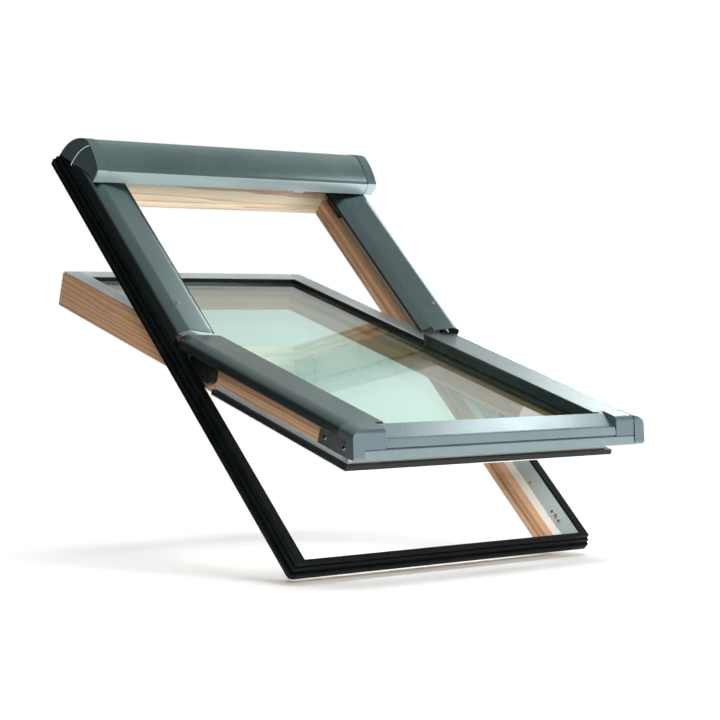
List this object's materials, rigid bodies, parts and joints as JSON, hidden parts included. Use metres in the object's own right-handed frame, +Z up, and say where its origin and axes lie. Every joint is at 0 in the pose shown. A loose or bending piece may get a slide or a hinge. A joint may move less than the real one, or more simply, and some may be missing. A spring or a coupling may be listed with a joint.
{
  "type": "roof window",
  "caption": "Centre-pivot roof window in a pitched timber frame with grey metal covers, a hood over the head, stepped double glazing and a bottom-handle lock.",
  "frame": {"origin": "centre of the frame on the roof line, the plane of the outer rails' underside", "axes": "+X to the right seen from outside, +Y into the house and level, +Z up; the window leans back at 45 degrees"},
  "size_m": [0.763, 1.0914, 0.8835],
  "materials": {
    "frame_pine": "clear-lacquered pine",
    "rail_black": "black powder coat",
    "corner_black": "moulded, glossy",
    "liner_grey": "coated grey",
    "strip_white": "extruded",
    "cover_grey": "satin grey coat",
    "seal_black": "matt",
    "clip_black": "moulded",
    "screw_steel": "plated",
    "hood_grey": "satin grey coat",
    "cap_dark": "moulded",
    "trim_pale": "extruded",
    "hinge_steel": "zinc plated",
    "sash_pine": "clear-lacquered pine",
    "pane_glass": "float glass, faint green",
    "spacer_metal": "mill finish",
    "bead_silver": "satin anodised",
    "cover_light": "satin light grey coat",
    "cap_grey": "moulded",
    "housing_black": "moulded",
    "handle_metal": "satin anodised"
  },
  "bodies": {
    "frame": {"frame_stile_left": "frame_pine", "frame_stile_right": "frame_pine", "frame_head": "frame_pine", "frame_sill": "frame_pine", "rail_left": "rail_black", "rail_right": "rail_black", "rail_bottom": "rail_black", "rail_top": "rail_black", "rail_corners": "corner_black", "liner_left": "liner_grey", "liner_right": "liner_grey", "liner_sill": "liner_grey", "base_strips": "strip_white", "frame_cover_left": "cover_grey", "frame_cover_right": "cover_grey", "frame_cover_seals": "seal_black", "frame_cover_clips": "clip_black", "cover_screws": "screw_steel", "hood": "hood_grey", "hood_cap_left": "cap_dark", "hood_cap_right": "cap_dark", "hood_trims": "trim_pale", "hood_clips": "screw_steel", "hinge_plate_left": "hinge_steel", "hinge_plate_right": "hinge_steel", "keepers": "liner_grey", "head_blocks": "clip_black"},
    "sash": {"sash_stile_left": "sash_pine", "sash_stile_right": "sash_pine", "sash_top_rail": "sash_pine", "sash_bottom_rail": "sash_pine", "outer_pane": "pane_glass", "spacer": "spacer_metal", "inner_pane": "pane_glass", "glazing_tape": "seal_black", "glazing_gasket": "seal_black", "glazing_bead_left": "bead_silver", "glazing_bead_right": "bead_silver", "glazing_bead_top": "bead_silver", "sash_cover_left": "cover_grey", "sash_cover_right": "cover_grey", "sash_cover_clips": "clip_black", "cover_seals": "seal_black", "bottom_cover": "cover_light", "drip_strip": "cover_light", "corner_cap_left": "cap_grey", "corner_cap_right": "cap_grey", "cover_end_left": "cap_grey", "cover_end_right": "cap_grey", "seal_carrier": "bead_silver", "sash_seal": "seal_black", "hinge_housing_left": "housing_black", "hinge_housing_right": "housing_black", "lock_plates": "hinge_steel", "lock_gearbox": "hinge_steel", "handle_rosette": "handle_metal"},
    "handle": {"handle_lever": "handle_metal"},
    "bolt_left": {"lock_bolt_left": "hinge_steel"},
    "bolt_right": {"lock_bolt_right": "hinge_steel"}
  },
  "joints": [
    {"name": "sash_pivot", "type": "hinge", "parent": "frame", "child": "sash", "pos_m": [0, -0.04837, -0.00311], "axis": [-1, 0, 0], "range_deg": [-27, 33]},
    {"name": "handle_turn", "type": "hinge", "parent": "sash", "child": "handle", "pos_m": [0, -0.46738, -0.22022], "axis": [0, -0.309, 0.9511], "range_deg": [0, 90]},
    {"name": "bolt_left_slide", "type": "slide", "parent": "sash", "child": "bolt_left", "axis": [-1, 0, 0], "range_m": [0, 0.0345]},
    {"name": "bolt_right_slide", "type": "slide", "parent": "sash", "child": "bolt_right", "axis": [1, 0, 0], "range_m": [0, 0.0345]}
  ],
  "couplings": [
    {"joint": "bolt_left_slide", "follows": "handle_turn", "m_per_rad": 0.021645},
    {"joint": "bolt_right_slide", "follows": "handle_turn", "m_per_rad": 0.021645}
  ]
}
